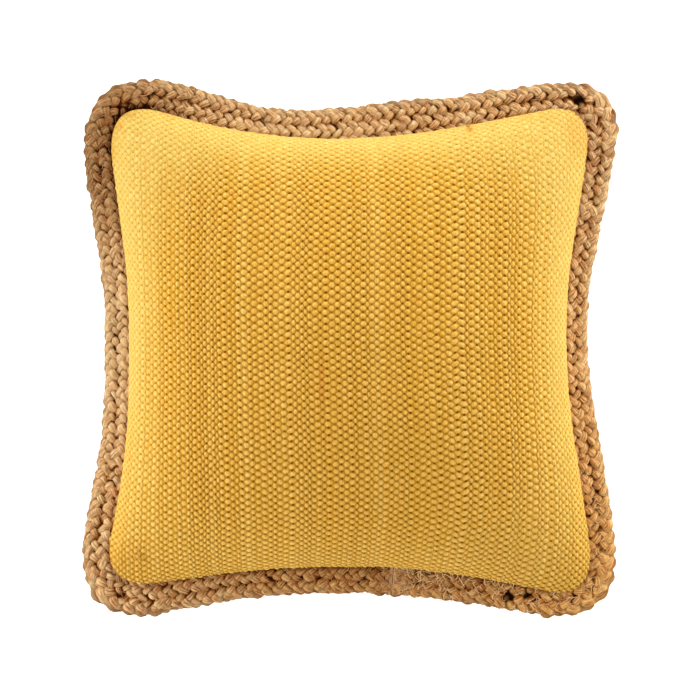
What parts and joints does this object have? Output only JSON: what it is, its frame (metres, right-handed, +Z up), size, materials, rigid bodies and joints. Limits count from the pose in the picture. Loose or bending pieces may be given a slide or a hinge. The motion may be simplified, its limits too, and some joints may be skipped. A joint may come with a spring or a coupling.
{
  "type": "cushion with a plaited jute border",
  "caption": "Filled square scatter cushion with a chunky woven cotton cover, drawn-in sides and a flat plaited jute border sewn round the seam, lying on its back.",
  "frame": {"origin": "on the surface it rests on, under the middle of its outline", "axes": "+Z up, out of the cushion's face; +Y towards the side that is at the top in the picture; +X to the right in the picture"},
  "size_m": [0.4984, 0.4996, 0.154],
  "materials": {
    "cotton": "matt chunky hand-woven cotton, golden yellow with darker ochre gaps between the beads of the weave",
    "jute": "natural jute strands in a flat plait, golden tan with paler and browner strands, slightly lustrous and hairy"
  },
  "bodies": {
    "root": {"cushion": "cotton", "braid": "jute"}
  },
  "joints": []
}
